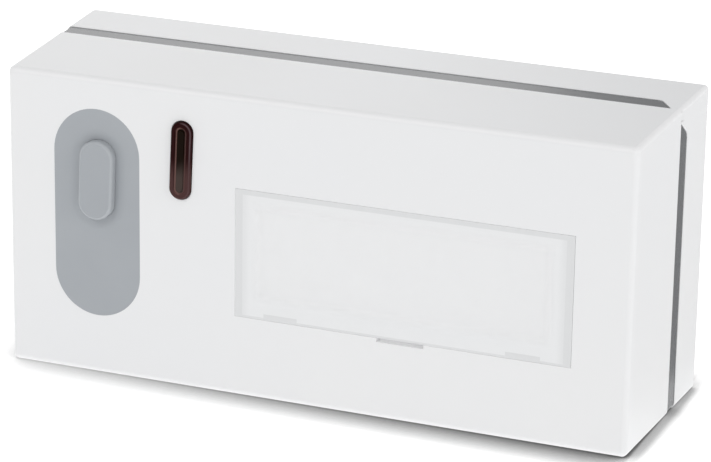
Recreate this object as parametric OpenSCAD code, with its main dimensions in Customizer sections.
// Wireless push button: a drafted two-part housing with a seal band, a push pad, a lamp lens and a name
// window, round a circuit board and a tray with two AAA cells.
// Sizes are in millimetres. X runs to the right as seen from the front, Y from front to back, Z upwards.
// Inside the modules Y is the depth behind the front face, and placed() moves it to the middle of the object.

/* [Housing] */
// Width across the back
body_w = 85; // [80:0.5:100]
// Height at the back
body_h = 40.4; // [39:0.2:50]
// Draft of the top and of the two sides, in degrees
draft = 2; // [0.5:0.25:3]
// Depth of the front cover, from its face to the seam
front_d = 15.6; // [14:0.1:18]
// Thickness of the front wall
face_t = 2.0; // [1.6:0.1:3]
// Thickness of the back wall
back_t = 2.0; // [1.6:0.1:3]
// Thickness of the top and side walls at the front, where the draft leaves them thinnest
wall = 1.6; // [1.4:0.1:2.2]
// Thickness of the bottom wall
floor_t = 2.1; // [2:0.1:3]
// Rounding of the edges round the front
front_r = 0.8; // [0.6:0.1:1.5]
// Rounding of the edges round the back
back_r = 0.6; // [0.4:0.1:1.5]
// Rounding of the corners of the hollow
cavity_r = 1.0; // [0.5:0.1:1.5]

/* [Seam] */
// Width of the grey seal band
band_w = 2.7; // [1.8:0.1:4]
// How far the band lies below the shells
band_recess = 0.1; // [0:0.05:0.3]
// Thickness of the rear case's tongue
tongue_t = 1.0; // [0.8:0.05:1.2]
// Depth of the rebate in the front cover that takes the tongue
lap_d = 4.0; // [2.5:0.1:5]
// Room at the tongue's tip
tip_gap = 0.2; // [0.1:0.05:0.5]
// Clearance round the tongue
lap_gap = 0.15; // [0.1:0.01:0.25]
// Height of the snap beads on the tongue
bead_h = 0.1; // [0.05:0.01:0.12]
// Length of a snap bead
bead_l = 8; // [4:0.5:12]
// Distance of the snap beads from the middle
bead_x = 20; // [12:0.5:28]
// Reach of the corner lug along the top, at its root
lug_top = 3.4; // [2.8:0.1:5]
// Reach of the corner lug down the side, at its root
lug_side = 3.8; // [2.8:0.1:5]
// Run of the lug's sloping ends
lug_run = 1.95; // [1:0.05:2.2]
// Fillet at the root of those ends
lug_r = 1.0; // [0.4:0.1:1.4]
// Length of the pry notch in the lug
pry_l = 1.3; // [0.8:0.1:1.6]
// Width of the pry notch
pry_w = 0.9; // [0.5:0.1:1.4]
// Depth of the pry notch
pry_d = 0.35; // [0.2:0.05:0.6]

/* [Push pad] */
// Gap between the left edge of the face and the pad
pad_left = 6.45; // [5.5:0.05:8]
// Gap between the top edge of the face and the pad
pad_top = 4.1; // [3.5:0.05:6]
// Gap between the bottom edge of the face and the pad
pad_bottom = 7.9; // [5:0.05:10]
// Width of the pad
pad_w = 11.8; // [10:0.1:13]
// Thickness of the flanges behind the front wall
flange_t = 1.0; // [0.8:0.1:1.4]
// How far those flanges reach past their openings
flange_lip = 0.8; // [0.5:0.1:1]
// Clearance of the pad and the lens in their openings
fit_gap = 0.06; // [0.03:0.01:0.1]
// Width of the raised button
bump_w = 4.4; // [3.8:0.1:5.5]
// Length of the raised button
bump_l = 10.4; // [8:0.1:13]
// Height of the button above the face
bump_h = 1.0; // [0.6:0.1:1.5]
// Rounding of the button's edge
bump_r = 0.45; // [0.2:0.05:0.8]
// Width of the hollow round the button
moat_w = 2.0; // [1:0.1:2.2]
// Depth of the hollow round the button
moat_d = 0.3; // [0.2:0.05:0.6]
// Travel of the button
travel = 0.5; // [0.2:0.05:0.6]
// Clearance round the button
slide_gap = 0.12; // [0.08:0.01:0.2]
// Thickness of the button's own flange
button_flange_t = 0.8; // [0.6:0.1:1.2]
// Play between parts that touch when the button is pressed
touch_gap = 0.05; // [0.03:0.01:0.1]

/* [Lamp lens] */
// Gap between the pad and the lens
lens_gap = 4.45; // [3:0.05:6]
// Width of the lens
lens_w = 3.0; // [2.4:0.1:4]
// Length of the lens
lens_l = 10.35; // [8:0.05:14]
// Height of the lens above the face
lens_h = 0.5; // [0.2:0.05:0.8]
// Rounding of the lens's edge
lens_r = 0.4; // [0.2:0.05:0.6]
// Width inside the ring that is sunk into the lens
ring_w = 1.25; // [1:0.05:2]
// Distance of that ring from the ends of the lens
ring_inset = 1.0; // [0.6:0.05:1.2]
// Radius of the ring's groove
ring_r = 0.18; // [0.1:0.01:0.25]

/* [Name window] */
// Gap between the lens and the window
window_gap = 5.65; // [4:0.05:8]
// Gap between the right edge of the face and the window
window_right = 7.4; // [5:0.05:12]
// Gap between the top edge of the face and the window
window_top = 11.9; // [8:0.05:14]
// Gap between the bottom edge of the face and the window
window_bottom = 10.65; // [8:0.05:12]
// Depth of the pocket
pocket_d = 1.85; // [1.6:0.05:2.4]
// Thickness of the pocket's floor
pocket_floor_t = 1.3; // [1:0.1:2]
// How far the pocket's floor reaches past the pocket
pocket_rim = 1.2; // [0.8:0.1:2]
// Thickness of the clear cover's plate
plate_t = 1.0; // [0.8:0.05:1.3]
// Clearance round the clear cover
window_fit = 0.1; // [0.06:0.01:0.2]
// Width of the clear cover's rim at both sides
rim_side = 1.0; // [0.6:0.05:1.5]
// Width of the clear cover's rim at the top
rim_top = 0.65; // [0.5:0.05:1]
// Width of the clear cover's rim at the bottom
rim_bottom = 0.4; // [0.3:0.05:0.8]
// Thickness of the card
label_t = 0.3; // [0.2:0.05:0.5]
// Clearance round the card
label_gap = 0.15; // [0.1:0.05:0.3]
// Width of a leg of the clear cover
leg_w = 4.6; // [3:0.1:6]
// Thickness of a leg
leg_t = 0.8; // [0.6:0.05:1.2]
// Distance of the legs from the sides of the window
leg_inset = 3.8; // [2:0.1:8]
// How far the legs stand out behind the pocket's floor
leg_out = 1.2; // [0.6:0.1:2]
// Width of the notch for prying the clear cover out
notch_w = 6.2; // [4:0.1:10]
// Height of that notch
notch_h = 0.4; // [0.2:0.05:0.8]
// Depth of that notch
notch_d = 0.9; // [0.5:0.05:1.2]

/* [Circuit board] */
// Thickness of the board
board_t = 1.6; // [1:0.1:2]
// Gap between the board and the walls
board_gap = 0.8; // [0.5:0.1:1.2]
// Distance of the board screws from the walls
screw_inset = 2.6; // [2.5:0.05:3]
// Diameter of the screw posts
post_d = 3.9; // [3.6:0.1:4.4]
// Diameter of the screws
screw_d = 2.0; // [1.6:0.1:2.2]
// Length of the screws under their heads
screw_l = 5.0; // [4:0.1:6]
// Diameter of the screw heads
head_d = 3.4; // [3:0.1:3.6]
// Height of the screw heads
head_h = 1.4; // [1:0.1:1.8]
// Width and depth of the cross in the heads
cross_w = 0.5; // [0.3:0.05:0.7]
// Clearance of screws, pegs, tabs and wires in their holes
hole_gap = 0.1; // [0.05:0.01:0.15]

/* [Tactile switch] */
// Side of the switch
switch_w = 6.0; // [5.5:0.1:6.5]
// Height of the switch without its plunger
switch_h = 3.5; // [3:0.1:5]
// Thickness of its metal cover
switch_cover_t = 0.3; // [0.2:0.05:0.5]
// Diameter of its plunger
plunger_d = 3.5; // [3:0.1:4]
// How far the plunger stands out
plunger_out = 1.2; // [0.8:0.1:2]
// How far the plunger reaches inside
plunger_in = 1.1; // [0.8:0.1:1.4]
// Distance between the terminals of one side
terminal_pitch = 4.5; // [4:0.1:4.8]
// Width of a terminal
terminal_w = 0.7; // [0.5:0.05:0.9]
// Thickness of a terminal
terminal_t = 0.3; // [0.2:0.05:0.4]
// How far wires and terminals stand out behind the board
lead_out = 1.0; // [0.6:0.1:1.5]

/* [Lamp] */
// Diameter of the lamp
led_d = 3.0; // [2.8:0.1:3.4]
// Diameter of the lamp's foot
led_foot_d = 3.8; // [3.6:0.1:4.2]
// Height of the lamp's foot
led_foot_h = 1.0; // [0.8:0.1:1.4]
// Gap between the lamp and the lens
led_gap = 0.3; // [0.2:0.05:0.6]
// Distance between its wires
led_pitch = 2.54; // [2:0.01:2.8]
// Diameter of the wires
wire_d = 0.5; // [0.4:0.05:0.6]

/* [Cells and tray] */
// Diameter of a cell
cell_d = 10.5; // [10:0.1:11]
// Length of a cell with its nub
cell_l = 44.5; // [43:0.1:46]
// Diameter of the nub
nub_d = 3.8; // [3:0.1:4.5]
// Height of the nub
nub_h = 0.8; // [0.6:0.1:1.2]
// Clearance between a cell and the tray
cell_gap = 0.3; // [0.2:0.05:0.5]
// Gap between the two cells
cell_between = 0.7; // [0.4:0.1:1.2]
// Thickness of the tray's floor
tray_floor = 1.0; // [0.8:0.1:1.5]
// Thickness of the tray's walls
tray_wall = 1.2; // [1:0.1:1.6]
// Height of the tray's side walls above its floor
tray_side_h = 6.3; // [5.5:0.1:8]
// Height of the tray's end walls above its floor
tray_end_h = 8.8; // [8:0.1:10]
// Gap between the tray and the lower edge of the board
tray_margin = 1.5; // [0.5:0.1:2]
// Width of the finger gap in the tray's sides
finger_w = 18; // [12:0.5:24]
// Height of the tray's sides in the finger gap
finger_h = 3.0; // [2:0.1:4]
// Distance of the saddles from the middle
saddle_x = 14; // [10.5:0.5:18]
// Thickness of the saddles
saddle_t = 1.2; // [1:0.1:2]
// Diameter of the pegs that hold the tray to the board
peg_d = 2.0; // [1.6:0.1:2.4]
// Distance of the pegs from the middle
peg_x = 20; // [18:0.5:22]
// How far the pegs stand out in front of the board
peg_out = 0.6; // [0.4:0.1:1]
// Thickness of the contact plates
contact_t = 0.4; // [0.3:0.05:0.5]
// Width of a contact plate
contact_w = 8.0; // [6:0.1:9]
// Height of a contact plate
contact_h = 8.2; // [7:0.1:9]
// Height of the pip on a contact
pip_h = 0.3; // [0.2:0.05:0.5]
// Diameter of the pip
pip_d = 3.2; // [2.4:0.1:3.6]
// Gap between a cell's end and what it touches
contact_gap = 0.1; // [0.05:0.01:0.15]
// Width of the contacts' solder tabs
tab_w = 1.6; // [1.2:0.1:2.5]
// Length of a contact spring
spring_l = 4.2; // [3.8:0.1:5.5]
// Turns of a contact spring
spring_turns = 3.5; // [2.5:0.5:4]
// Middle radius of a spring at its plate
spring_base_r = 3.0; // [2.6:0.1:3.6]
// Middle radius of a spring at the cell
spring_tip_r = 1.8; // [1.4:0.1:2.2]
// Wire of the springs
spring_wire = 0.5; // [0.4:0.05:0.55]

/* [Radio parts] */
// Length of the encoder chip
chip_l = 8.7; // [8:0.1:10]
// Width of the encoder chip
chip_w = 3.9; // [3.5:0.1:4.5]
// Height of the encoder chip
chip_h = 1.5; // [1.2:0.1:1.8]
// Gap under the chip
chip_lift = 0.1; // [0.05:0.05:0.2]
// Slope of the chip's sides
chip_slope = 0.2; // [0.1:0.05:0.4]
// Diameter of the dimple that marks its first pin
dimple_d = 0.8; // [0.5:0.1:1.2]
// Distance of the dimple from the chip's edges
dimple_inset = 1.0; // [0.6:0.1:1.4]
// Distance between its pins
pin_pitch = 1.27; // [1:0.01:1.3]
// Pins on each side
pin_count = 7; // [4:1:7]
// Width of a pin
pin_w = 0.42; // [0.3:0.02:0.5]
// Thickness of a pin
pin_t = 0.2; // [0.14:0.02:0.3]
// How far the pins reach past the chip
pin_reach = 1.05; // [0.9:0.05:1.4]
// Length of a pin before it bends down
pin_knee = 0.3; // [0.2:0.05:0.4]
// Run of a pin's slope
pin_drop = 0.2; // [0.1:0.05:0.3]
// Diameter of the resonator's rim
can_rim_d = 9.3; // [8:0.1:10]
// Diameter of the resonator's can
can_d = 8.3; // [7:0.1:8.6]
// Height of the resonator
can_h = 3.2; // [2.5:0.1:4]
// Thickness of the resonator's rim
can_rim_t = 0.6; // [0.4:0.1:0.8]
// Gap between the resonator and the switch's terminals
can_gap = 0.5; // [0.3:0.1:2]
// Diameter of the capacitor
cap_d = 5.0; // [4:0.1:6]
// Height of the capacitor
cap_h = 7.0; // [5:0.1:8]
// Radius of the crimp round the capacitor's foot
cap_crimp = 0.4; // [0.2:0.05:0.6]
// Gap between the capacitor and the encoder chip
cap_gap = 1.2; // [0.6:0.1:1.6]
// Length of a small chip part
small_l = 2.0; // [1.6:0.1:2.2]
// Width of a small chip part
small_w = 1.25; // [0.8:0.05:1.4]
// Height of a small chip part
small_h = 0.55; // [0.4:0.05:0.8]
// Length of its metal ends
small_end = 0.4; // [0.2:0.05:0.5]
// Distance between the columns of small chip parts
small_pitch = 4.2; // [3.6:0.1:4.6]
// Distance between the rows of small chip parts
small_row = 2.6; // [2.2:0.1:3]
// Turns of the coil aerial
coil_turns = 14; // [8:1:16]
// Distance from turn to turn
coil_pitch = 1.6; // [1.4:0.05:2]
// Middle radius of the coil
coil_r = 1.6; // [1.2:0.1:2]
// Wire of the coil
coil_wire = 0.6; // [0.4:0.05:0.8]
// Gap between the coil and the board
coil_gap = 0.3; // [0.2:0.05:0.6]

/* [Back] */
// Room between the cells and the back wall
rear_room = 2.5; // [2:0.1:5]
// Distance between the two wall screw holes
hole_spacing = 64; // [56:0.5:68]
// Diameter of the wall screw holes
hole_d = 4.0; // [3:0.1:5]
// Width of the sink round the holes, inside
sink_w = 1.0; // [0.4:0.1:1.4]
// Distance of the cell ribs from the middle
rib_x = 10; // [4:0.5:16]
// Thickness of the cell ribs
rib_t = 1.2; // [0.8:0.1:1.6]
// Gap between the cell ribs and the cells
rib_gap = 0.5; // [0.4:0.05:0.8]

/* [Hidden] */
$fn = 48;
// Sides of the balls that round the housing, and of wide arcs
ball_fn = 36;
arc_fn = 96;
// Rings in a turn of a wound wire, and its sides
turn_rings = 8;
wire_sides = 6;
// Overlap of cuts and of fused pieces, and a small one for thin walls
cut = 0.5;
bite = 0.1;
// What a hole is wider than its pin
drill = 2 * hole_gap;

// Depths behind the front face
flange_end = face_t + flange_t;
button_start = flange_end + touch_gap;
button_end = button_start + button_flange_t;
plunger_start = button_end + touch_gap;
switch_start = plunger_start + plunger_out;
board_start = switch_start + switch_h;
board_end = board_start + board_t;
tray_start = board_end + tray_floor;
cell_axis = tray_start + cell_gap + cell_d / 2;
cell_end = cell_axis + cell_d / 2;
back_start = cell_end + rear_room;
body_d = back_start + back_t;
seam_end = front_d + band_w;
pocket_end = pocket_d + pocket_floor_t;
face_y = bump_h - (body_d + bump_h) / 2;

// Half width and top of the drafted housing at a depth
function half_w(depth) = body_w / 2 - (body_d - depth) * tan(draft);
function top_z(depth) = body_h - (body_d - depth) * tan(draft);

// Hollow, board and screws
cavity_half = half_w(0) - wall;
cavity_top = top_z(0) - wall;
cavity_z = (floor_t + cavity_top) / 2;
cavity_w = 2 * cavity_half;
cavity_h = cavity_top - floor_t;
board_half = cavity_half - board_gap;
board_low = floor_t + board_gap;
board_high = cavity_top - board_gap;
screw_places = [for (x = [-1, 1], z = [floor_t + screw_inset, cavity_top - screw_inset])
    [x * (cavity_half - screw_inset), z]];

// Places on the front
pad_x = -half_w(0) + pad_left + pad_w / 2;
pad_high = top_z(0) - pad_top;
pad_h = pad_high - pad_bottom;
pad_z = pad_bottom + pad_h / 2;
bump_z = pad_high - pad_w / 2 - (bump_l - bump_w) / 2;
lens_x = pad_x + pad_w / 2 + lens_gap + lens_w / 2;
lens_z = pad_high - lens_l / 2;
window_low_x = lens_x + lens_w / 2 + window_gap;
window_w = half_w(0) - window_right - window_low_x;
window_h = top_z(0) - window_top - window_bottom;
window_x = window_low_x + window_w / 2;
window_z = window_bottom + window_h / 2;
leg_places = [for (side = [-1, 1]) window_x + side * (window_w / 2 - leg_inset - leg_w / 2)];
leg_z = window_bottom + window_fit + leg_t / 2;

// Tray and cells
tray_in = 2 * contact_t + pip_h + 2 * contact_gap + cell_l + spring_l;
tray_half = tray_in / 2 + tray_wall;
tray_low = board_low + tray_margin;
lower_z = tray_low + tray_wall + cell_gap + cell_d / 2;
upper_z = lower_z + cell_d + cell_between;
tray_high = upper_z + cell_d / 2 + cell_gap + tray_wall;
tray_z = (tray_low + tray_high) / 2;
plate_x = tray_in / 2 - contact_t;
nub_x = plate_x - pip_h - contact_gap;
cell_foot_x = nub_x - cell_l;
peg_places = [for (x = [-1, 1], z = [lower_z, upper_z]) [x * peg_x, z]];
tab_places = [for (z = [lower_z, upper_z]) [-plate_x - contact_t / 2, z]];

// Wires and terminals that go through the board
lead_places = [for (x = [-1, 1]) [lens_x + x * led_pitch / 2, lens_z]];
terminal_places = [for (x = [-1, 1], z = [-1, 1])
    [pad_x + x * (switch_w + terminal_t) / 2, bump_z + z * terminal_pitch / 2]];

// Free ends and free strip of the board's back
zone_x = (tray_half + board_half) / 2;
cap_z = tray_z - chip_l / 2 - cap_gap - cap_d / 2;
can_z = bump_z - (terminal_pitch + terminal_w) / 2 - can_gap - can_rim_d / 2;
strip_z = (tray_high + board_high) / 2;
coil_axis = board_end + coil_gap + coil_wire / 2 + coil_r;
coil_start_x = -coil_turns * coil_pitch / 2;

shell_white = "#ececec";
pad_grey = "#a7abb0";
band_grey = "#7c7f82";
lens_brown = "#32191a";
card_white = "#f6f6f4";
clear_white = [0.9, 0.92, 0.94, 0.35];
board_green = "#2f6b45";
metal_grey = "#c3c6c8";
black = "#26272a";
tray_black = "#33353a";
cell_silver = "#b9bcc0";
copper = "#b87544";
lamp_red = "#b3241f";
ceramic_tan = "#b9a888";

// Moves depths to the finished object's frame
module placed() {
    translate([0, face_y, 0]) children();
}

// Extrudes an outline seen from the front between two depths
module between(start, end) {
    translate([0, end, 0]) rotate([90, 0, 0]) linear_extrude(end - start) children();
}

// A round post along the depth
module post(x, z, start, end, d) {
    translate([x, end, z]) rotate([90, 0, 0]) cylinder(h = end - start, d = d);
}

// A revolved piece that stands on the board's back, its profile's height counted from the board
module standing(x, z) {
    translate([x, board_end, z]) rotate([-90, 0, 0]) rotate_extrude() children();
}

// A box centred across X and Z, between two depths
module block(x, z, w, h, start, end) {
    translate([x - w / 2, start, z - h / 2]) cube([w, end - start, h]);
}

// An upright outline with round ends
module stadium(w, l) {
    square([w, l - w], center = true);
    for (side = [-1, 1]) translate([0, side * (l - w) / 2]) circle(d = w);
}

// A rectangle with round corners
module rounded_rect(w, h, r) {
    square([w - 2 * r, h], center = true);
    square([w, h - 2 * r], center = true);
    for (x = [-1, 1], z = [-1, 1]) translate([x * (w / 2 - r), z * (h / 2 - r)]) circle(r);
}

// Sweeps a profile round an upright stadium: x is the distance from its centre line, y points to the front
module stadium_sweep(straight) {
    for (end = [0, 1]) rotate([0, 180 * end, 0]) translate([0, 0, straight / 2]) rotate([90, 0, 0])
        rotate_extrude(angle = 180) children();
    for (side = [0, 1]) mirror([side, 0, 0]) translate([0, 0, -straight / 2])
        linear_extrude(straight) mirror([0, 1]) children();
}

// Half of a bar's section whose front edge is rounded
module half_section(half, back, front, r) {
    translate([0, back]) square([half - r, front - back]);
    translate([0, back]) square([half, front - back - r]);
    translate([half - r, front - r]) circle(r);
}

// The hollow's outline, grown on all sides
module cavity_outline(grow = 0) {
    translate([0, cavity_z]) rounded_rect(cavity_w + 2 * grow, cavity_h + 2 * grow, cavity_r + grow);
}

// A ball that reaches its full radius along the axes
module ball(r) {
    rotate_extrude($fn = ball_fn) intersection() {
        circle(r, $fn = ball_fn);
        translate([0, -r]) square([r, 2 * r]);
    }
}

// The four corner balls of the housing at a depth
module corner_balls(depth, r, inset) {
    for (side = [-1, 1], z = [inset + r, top_z(depth) - inset - r / cos(draft)])
        translate([side * (half_w(depth) - inset - r / cos(draft)), depth, z]) ball(r);
}

// The whole drafted housing with its rounded edges
module housing(inset = 0) {
    hull() {
        corner_balls(front_r, front_r, inset);
        corner_balls(body_d - back_r, back_r, inset);
    }
}

// All that lies between two depths
module slab(start, end) {
    translate([-body_w, start, -body_h]) cube([2 * body_w, end - start, 3 * body_h]);
}

// The lug's outline along a wall, with a fillet at its root and its slope run on past the band:
// x runs from the root to the corner and y is the depth behind the seam's end
module lug_outline(gap) {
    slope = atan2(band_w, lug_run);
    reach = lug_r * tan(slope / 2);
    tip = band_w + cut;
    translate([-gap, seam_end]) {
        polygon([[0, cut], [0, 0], [tip / tan(slope), -tip], [body_w, -tip], [body_w, cut]]);
        difference() {
            polygon([[0, cut], [-reach, cut], [-reach, -lug_r], [reach * cos(slope), -reach * sin(slope)]]);
            translate([-reach, -lug_r]) circle(lug_r);
        }
    }
}

// The space of the corner lug outside the tongue: a sloping end on the top and one on the side
module lug_space(gap = 0) {
    root = tongue_t - bite;
    translate([half_w(seam_end) - lug_top, 0, cavity_top + root]) linear_extrude(body_h) lug_outline(gap);
    translate([cavity_half + root, 0, top_z(seam_end) - lug_side]) rotate([90, 0, 90])
        linear_extrude(body_w) mirror([1, -1]) lug_outline(gap);
}

// The hollow's upper right corner, grown and left square
module square_corner(grow) {
    translate([cavity_half - cavity_r, cavity_top - cavity_r]) square(cavity_r + grow);
}

// The corner lug itself, with the tongue's corner made square under it
module lug() {
    intersection() {
        housing();
        slab(front_d, seam_end + cut);
        union() {
            lug_space();
            between(front_d - cut, seam_end + cut) square_corner(tongue_t - bite / 2);
        }
    }
}

// A snap bead across the tongue, grown for its groove in the cover
module snap_beads(grow = 0) {
    bead_r = tongue_t / 2;
    bead_depth = front_d - lap_d / 2;
    for (x = [-1, 1], z = [floor_t - tongue_t + bead_r - bead_h, cavity_top + tongue_t - bead_r + bead_h])
        translate([x * bead_x - bead_l / 2 - grow, bead_depth, z]) rotate([0, 90, 0])
            cylinder(h = bead_l + 2 * grow, r = bead_r + grow);
}

// Ribs on the back wall that keep the cells in the tray, hollowed to the cells
module cell_ribs() {
    rib_h = upper_z - lower_z + cell_d / 2;
    rib_start = cell_axis + cell_d / 4;
    difference() {
        for (x = [-1, 1]) block(x * rib_x, tray_z, rib_t, rib_h, rib_start, back_start + cut);
        for (z = [lower_z, upper_z])
            translate([-rib_x - rib_t, cell_axis, z]) rotate([0, 90, 0])
                cylinder(h = 2 * (rib_x + rib_t), d = cell_d + 2 * rib_gap);
    }
}

module rear_case() {
    color(shell_white) placed() difference() {
        union() {
            difference() {
                intersection() {
                    housing();
                    slab(seam_end, body_d + cut);
                }
                between(seam_end - cut, back_start) cavity_outline();
            }
            difference() {
                union() {
                    between(front_d - lap_d + tip_gap, seam_end + cut) cavity_outline(tongue_t);
                    snap_beads();
                    lug();
                }
                between(front_d - lap_d, seam_end + 2 * cut) cavity_outline();
            }
            cell_ribs();
        }
        for (x = [-1, 1]) {
            post(x * hole_spacing / 2, body_h / 2, back_start - cut, body_d + cut, hole_d);
            translate([x * hole_spacing / 2, back_start, body_h / 2]) rotate([-90, 0, 0])
                cylinder(h = sink_w, d1 = hole_d + 2 * sink_w, d2 = hole_d);
        }
        translate([half_w(front_d), front_d, top_z(seam_end) - lug_side + lug_run + bite]) linear_extrude(pry_l)
            polygon([[-pry_d, 0], [pry_d, 0], [pry_d, 2 * pry_w]]);
    }
}

// The band round the tongue, square inside at the corner where the lug parts it
module seal_band() {
    inner = tongue_t + fit_gap;
    color(band_grey) placed() difference() {
        intersection() {
            housing(band_recess);
            slab(front_d, seam_end);
        }
        between(front_d - cut, seam_end + cut) {
            cavity_outline(inner);
            square_corner(inner);
        }
        lug_space(fit_gap);
    }
}

module front_cover() {
    color(shell_white) placed() difference() {
        union() {
            difference() {
                intersection() {
                    housing();
                    slab(-cut, front_d);
                }
                between(face_t, front_d + cut) cavity_outline();
                between(front_d - lap_d, front_d + cut) cavity_outline(tongue_t + lap_gap);
            }
            between(face_t - cut, pocket_end) translate([window_x, window_z])
                square([window_w + 2 * pocket_rim, window_h + 2 * pocket_rim], center = true);
            for (p = screw_places) post(p.x, p.y, face_t - cut, board_start, post_d);
        }
        between(-cut, face_t + cut) translate([pad_x, pad_z]) stadium(pad_w, pad_h);
        between(-cut, face_t + cut) translate([lens_x, lens_z]) stadium(lens_w, lens_l);
        block(window_x, window_z, window_w, window_h, -cut, pocket_d);
        block(window_x, window_bottom - notch_h / 2, notch_w, notch_h + 2 * window_fit, -cut, notch_d);
        for (x = leg_places)
            block(x, leg_z, leg_w + 2 * hole_gap, leg_t + 2 * hole_gap, pocket_d - cut, pocket_end + cut);
        for (p = screw_places)
            post(p.x, p.y, board_end - screw_l - cut, board_start + cut, screw_d + hole_gap);
        snap_beads(lap_gap);
    }
}

module push_pad() {
    color(pad_grey) placed() difference() {
        union() {
            between(0, flange_end) translate([pad_x, pad_z])
                stadium(pad_w - 2 * fit_gap, pad_h - 2 * fit_gap);
            between(face_t, flange_end) translate([pad_x, pad_z])
                stadium(pad_w + 2 * flange_lip, pad_h + 2 * flange_lip);
        }
        between(-cut, flange_end + cut) translate([pad_x, bump_z])
            stadium(bump_w + 2 * slide_gap, bump_l + 2 * slide_gap);
        translate([pad_x, 0, bump_z]) moat();
    }
}

// The dished hollow round the button, cut by an arc that fades out on the pad
module moat() {
    moat_r = (moat_w * moat_w + moat_d * moat_d) / (2 * moat_d);
    stadium_sweep(bump_l - bump_w) intersection() {
        translate([bump_w / 2, moat_r - moat_d]) circle(moat_r, $fn = arc_fn);
        translate([bump_w / 2 - cut, -moat_d]) square([moat_w + cut, 2 * moat_d]);
    }
}

module push_button() {
    color(pad_grey) placed() translate([pad_x, 0, bump_z]) {
        stadium_sweep(bump_l - bump_w) half_section(bump_w / 2, -button_end, bump_h, bump_r);
        between(button_start, button_end) stadium(bump_w + 2 * flange_lip, bump_l + 2 * flange_lip);
    }
}

module led_lens() {
    lens_straight = lens_l - lens_w;
    color(lens_brown) placed() translate([lens_x, 0, lens_z]) difference() {
        union() {
            stadium_sweep(lens_straight) half_section(lens_w / 2 - fit_gap, -flange_end, lens_h, lens_r);
            between(face_t, flange_end) stadium(lens_w + 2 * flange_lip, lens_l + 2 * flange_lip);
        }
        stadium_sweep(lens_l - 2 * ring_inset - ring_w) translate([ring_w / 2, lens_h]) circle(ring_r);
    }
}

module name_window() {
    outer_w = window_w - 2 * window_fit;
    outer_h = window_h - 2 * window_fit;
    inner_w = outer_w - 2 * rim_side;
    inner_h = outer_h - rim_top - rim_bottom;
    color(clear_white) placed() {
        difference() {
            block(window_x, window_z, outer_w, outer_h, 0, pocket_d);
            block(window_x, window_z + (rim_bottom - rim_top) / 2, inner_w, inner_h, plate_t, pocket_d + cut);
        }
        for (x = leg_places) block(x, leg_z, leg_w, leg_t, plate_t - cut, pocket_end + leg_out);
    }
}

module name_label() {
    card_w = window_w - 2 * (window_fit + rim_side + label_gap);
    card_low = window_bottom + window_fit + leg_t + label_gap;
    card_high = window_z + window_h / 2 - window_fit - rim_top - label_gap;
    card_z = (card_low + card_high) / 2;
    color(card_white) placed()
        block(window_x, card_z, card_w, card_high - card_low, pocket_d - label_t, pocket_d);
}

// Holes for the wires, terminals and tabs, through the board and on into the tray's floor
module lead_holes(start, end) {
    for (p = lead_places) post(p.x, p.y, start, end, wire_d + drill);
    for (p = terminal_places) block(p.x, p.y, terminal_t + drill, terminal_w + drill, start, end);
    for (p = tab_places) block(p.x, p.y, contact_t + drill, tab_w + drill, start, end);
}

module circuit_board() {
    color(board_green) placed() difference() {
        between(board_start, board_end) translate([0, cavity_z])
            rounded_rect(2 * board_half, board_high - board_low, cavity_r);
        for (p = screw_places) post(p.x, p.y, board_start - cut, board_end + cut, screw_d + drill);
        for (p = peg_places) post(p.x, p.y, board_start - cut, board_end + cut, peg_d + drill);
        lead_holes(board_start - cut, board_end + cut);
    }
}

module board_screws() {
    color(metal_grey) placed() for (p = screw_places) {
        difference() {
            union() {
                post(p.x, p.y, board_end - screw_l, board_end + cut, screw_d);
                standing(p.x, p.y) half_section(head_d / 2, 0, head_h, head_h / 2);
            }
            block(p.x, p.y, head_d, cross_w, board_end + head_h - cross_w, board_end + head_h + cut);
            block(p.x, p.y, cross_w, head_d, board_end + head_h - cross_w, board_end + head_h + cut);
        }
    }
}

module switch_base() {
    well_end = switch_start + plunger_in + travel + touch_gap;
    color(black) placed() difference() {
        block(pad_x, bump_z, switch_w, switch_w, switch_start + switch_cover_t, board_start);
        post(pad_x, bump_z, switch_start, well_end, plunger_d + 2 * slide_gap);
    }
}

module switch_cover() {
    cover_end = switch_start + switch_cover_t;
    color(metal_grey) placed() difference() {
        block(pad_x, bump_z, switch_w, switch_w, switch_start, cover_end);
        post(pad_x, bump_z, switch_start - cut, cover_end + cut, plunger_d + 2 * slide_gap);
    }
}

module switch_plunger() {
    color(black) placed() post(pad_x, bump_z, plunger_start, switch_start + plunger_in, plunger_d);
}

module switch_terminals() {
    color(metal_grey) placed() for (p = terminal_places)
        block(p.x, p.y, terminal_t, terminal_w, board_start - switch_h / 2, board_end + lead_out);
}

module indicator_led() {
    led_h = board_start - flange_end - led_gap;
    color(lamp_red) placed() translate([lens_x, board_start, lens_z]) rotate([90, 0, 0]) rotate_extrude() {
        square([led_foot_d / 2, led_foot_h]);
        square([led_d / 2, led_h - led_d / 2]);
        translate([0, led_h - led_d / 2]) intersection() {
            circle(d = led_d);
            square(led_d);
        }
    }
}

module led_leads() {
    color(metal_grey) placed() for (p = lead_places)
        post(p.x, p.y, board_start, board_end + lead_out, wire_d);
}

module encoder_chip() {
    chip_low = board_end + chip_lift;
    chip_high = chip_low + chip_h;
    half = chip_w / 2;
    face = half - chip_slope;
    color(black) placed() difference() {
        translate([zone_x, chip_low, tray_z - chip_l / 2]) linear_extrude(chip_l)
            polygon([[-face, 0], [face, 0], [half, chip_h / 2], [face, chip_h], [-face, chip_h],
                [-half, chip_h / 2]]);
        post(zone_x - half + dimple_inset, tray_z + chip_l / 2 - dimple_inset, chip_high - chip_lift,
            chip_high + cut, dimple_d);
    }
}

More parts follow.
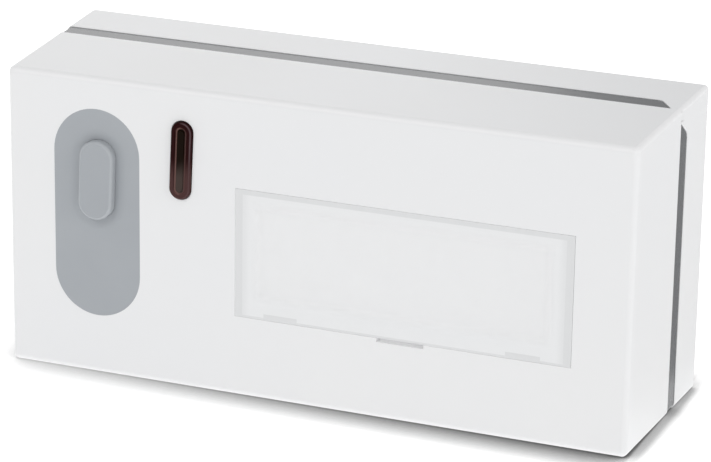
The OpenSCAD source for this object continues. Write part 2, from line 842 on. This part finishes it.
// Gull-wing pins: out of the chip's side, down to the board and along it
module encoder_pins() {
    shoulder = chip_lift + chip_h / 2;
    foot = pin_knee + pin_drop;
    color(metal_grey) placed() for (side = [0, 1], i = [0:pin_count - 1])
        translate([zone_x, board_end, tray_z + (i - (pin_count - 1) / 2) * pin_pitch - pin_w / 2])
            mirror([side, 0, 0]) translate([chip_w / 2, 0, 0]) linear_extrude(pin_w)
                polygon([[0, shoulder - pin_t / 2], [pin_knee, shoulder - pin_t / 2], [foot, 0],
                    [pin_reach, 0], [pin_reach, pin_t], [foot + pin_t, pin_t],
                    [pin_knee + pin_t, shoulder + pin_t / 2], [0, shoulder + pin_t / 2]]);
}

module resonator_can() {
    color(metal_grey) placed() standing(-zone_x, can_z) {
        square([can_rim_d / 2, can_rim_t]);
        half_section(can_d / 2, 0, can_h, can_rim_t);
    }
}

module filter_capacitor() {
    color(black) placed() standing(zone_x, cap_z) difference() {
        half_section(cap_d / 2, 0, cap_h, cap_crimp);
        translate([cap_d / 2 + cap_crimp / 2, 3 * cap_crimp]) circle(cap_crimp);
    }
}

// Places of the small chip parts, in two rows above the encoder and two below the resonator
module at_small_parts() {
    for (row = [0, 1], column = [-1, 1]) {
        step_x = column * small_pitch / 2;
        step_z = (row + 1 / 2) * small_row;
        translate([zone_x + step_x, board_end, tray_z + chip_l / 2 + step_z]) children();
        translate([step_x - zone_x, board_end, can_z - can_rim_d / 2 - step_z]) children();
    }
}

module chip_parts() {
    color(ceramic_tan) placed() at_small_parts()
        translate([small_end - small_l / 2, 0, -small_w / 2])
            cube([small_l - 2 * small_end, small_h, small_w]);
}

module chip_ends() {
    color(metal_grey) placed() at_small_parts() for (side = [0, 1])
        mirror([side, 0, 0]) translate([small_l / 2 - small_end, 0, -small_w / 2])
            cube([small_end, small_h, small_w]);
}

// A tube along a path: rings of points round it, turned by a normal at each point, and the faces between them
function unit(v) = v / norm(v);
function direction(path, i) = unit(path[min(i + 1, len(path) - 1)] - path[max(i - 1, 0)]);
function tube_points(path, normals, d) = [for (i = [0:len(path) - 1], k = [0:wire_sides - 1])
    let (side = unit(cross(direction(path, i), normals[i])), up = unit(cross(side, direction(path, i))))
        path[i] + d / 2 * (cos(360 * k / wire_sides) * up + sin(360 * k / wire_sides) * side)];
function tube_faces(n) = let (last = (n - 1) * wire_sides) concat(
    [for (k = [1:wire_sides - 2]) [0, k, k + 1]],
    [for (i = [0:n - 2], k = [0:wire_sides - 1], half = [0, 1])
        let (a = i * wire_sides + k, b = i * wire_sides + (k + 1) % wire_sides)
            half == 0 ? [a, a + wire_sides, b] : [b, a + wire_sides, b + wire_sides]],
    [for (k = [1:wire_sides - 2]) [last, last + k + 1, last + k]]);
// Least gap between stretches of a wire that lie over half a turn apart
function self_gap(path, d) = min([for (i = [0:len(path) - 1], k = [0:len(path) - 1])
    if (k - i > turn_rings / 2) norm(path[i] - path[k])]) - d;

module tube(path, normals, d) {
    polyhedron(tube_points(path, normals, d), tube_faces(len(path)));
}

// The aerial: turns along X, with a straight leg down to the board at each end
coil_steps = coil_turns * turn_rings + turn_rings / 2;
coil_spokes = [for (i = [0:coil_steps]) [0, sin(360 * i / turn_rings), cos(360 * i / turn_rings)]];
coil_bends = [for (i = [0:coil_steps])
    [coil_start_x + coil_pitch * i / turn_rings, coil_axis, strip_z] + coil_r * coil_spokes[i]];
coil_path = concat([[coil_bends[0].x, board_end, coil_bends[0].z]], coil_bends,
    [[coil_bends[coil_steps].x, board_end, coil_bends[coil_steps].z]]);
coil_normals = concat([coil_spokes[0]], coil_spokes, [coil_spokes[coil_steps]]);

module coil_antenna() {
    color(copper) placed() tube(coil_path, coil_normals, coil_wire);
    echo(coil_antenna_least_gap = self_gap(coil_path, coil_wire));
}

// A conical spring along X, from its plate at the origin to the cell
spring_steps = spring_turns * turn_rings;
spring_spokes = [for (i = [0:spring_steps]) [0, cos(360 * i / turn_rings), sin(360 * i / turn_rings)]];
spring_path = [for (i = [0:spring_steps])
    let (share = i / spring_steps)
        [spring_wire / 2 + share * (spring_l - spring_wire), 0, 0]
            + (spring_base_r + share * (spring_tip_r - spring_base_r)) * spring_spokes[i]];

module contact_springs() {
    color(metal_grey) placed() {
        translate([-plate_x, cell_axis, upper_z]) tube(spring_path, spring_spokes, spring_wire);
        translate([plate_x, cell_axis, lower_z]) rotate([0, 0, 180])
            tube(spring_path, spring_spokes, spring_wire);
    }
    echo(contact_spring_least_gap = self_gap(spring_path, spring_wire));
}

module battery_tray() {
    span_z = tray_high - tray_low;
    end_x = tray_half - tray_wall / 2;
    color(tray_black) placed() {
        difference() {
            union() {
                block(0, tray_z, 2 * tray_half, span_z, board_end, tray_start);
                for (x = [-1, 1])
                    block(x * end_x, tray_z, tray_wall, span_z, board_end, tray_start + tray_end_h);
                for (z = [tray_low + tray_wall / 2, tray_high - tray_wall / 2])
                    block(0, z, 2 * tray_half, tray_wall, board_end, tray_start + tray_side_h);
                for (x = [-1, 1]) block(x * saddle_x, tray_z, saddle_t, span_z, board_end, cell_axis);
            }
            for (z = [lower_z, upper_z])
                translate([-tray_in / 2, cell_axis, z]) rotate([0, 90, 0])
                    cylinder(h = tray_in, d = cell_d + 2 * cell_gap);
            block(0, tray_z, finger_w, span_z + cut, tray_start + finger_h, body_d);
            lead_holes(board_end - cut, tray_start + cut);
        }
        for (p = peg_places) post(p.x, p.y, board_start - peg_out, board_end + cut, peg_d);
    }
}

// A cell along X, from its flat end at the origin to its nub
module cell() {
    can_l = cell_l - nub_h;
    edge_r = nub_h / 2;
    foot_d = cell_d - 4 * edge_r;
    rotate([0, 90, 0]) rotate_extrude() difference() {
        union() {
            half_section(cell_d / 2, edge_r, can_l, edge_r);
            half_section(cell_d / 2 - edge_r, 0, can_l, edge_r);
            half_section(nub_d / 2, can_l - cut, cell_l, edge_r);
        }
        translate([foot_d / 2, 0]) circle(edge_r / 2);
    }
}

module upper_cell() {
    color(cell_silver) placed() translate([cell_foot_x, cell_axis, upper_z]) cell();
}

module lower_cell() {
    color(cell_silver) placed() translate([-cell_foot_x, cell_axis, lower_z]) rotate([0, 0, 180]) cell();
}

// A contact plate against the left end wall, with its solder tab through the tray and the board
module end_plate(z) {
    block(-plate_x - contact_t / 2, z, contact_t, contact_w, tray_start, tray_start + contact_h);
    block(-plate_x - contact_t / 2, z, contact_t, tab_w, board_start - peg_out, tray_start + cut);
}

// The raised pip that meets a cell's nub, on a plate at the origin and along X
module pip() {
    rotate([0, 90, 0]) translate([0, 0, -contact_t / 2])
        cylinder(h = contact_t / 2 + pip_h, d1 = pip_d, d2 = pip_d / 2);
}

module positive_contact() {
    color(metal_grey) placed() {
        end_plate(lower_z);
        translate([-plate_x, cell_axis, lower_z]) pip();
    }
}

module negative_contact() {
    color(metal_grey) placed() end_plate(upper_z);
}

module bridge_contact() {
    color(metal_grey) placed() {
        block(plate_x + contact_t / 2, tray_z, contact_t, upper_z - lower_z + contact_w, tray_start,
            tray_start + contact_h);
        translate([plate_x, cell_axis, upper_z]) rotate([0, 0, 180]) pip();
    }
}

rear_case();
seal_band();
front_cover();
push_pad();
push_button();
led_lens();
name_window();
name_label();
circuit_board();
board_screws();
switch_base();
switch_cover();
switch_terminals();
switch_plunger();
indicator_led();
led_leads();
encoder_chip();
encoder_pins();
resonator_can();
filter_capacitor();
chip_parts();
chip_ends();
coil_antenna();
battery_tray();
upper_cell();
lower_cell();
positive_contact();
negative_contact();
bridge_contact();
contact_springs();
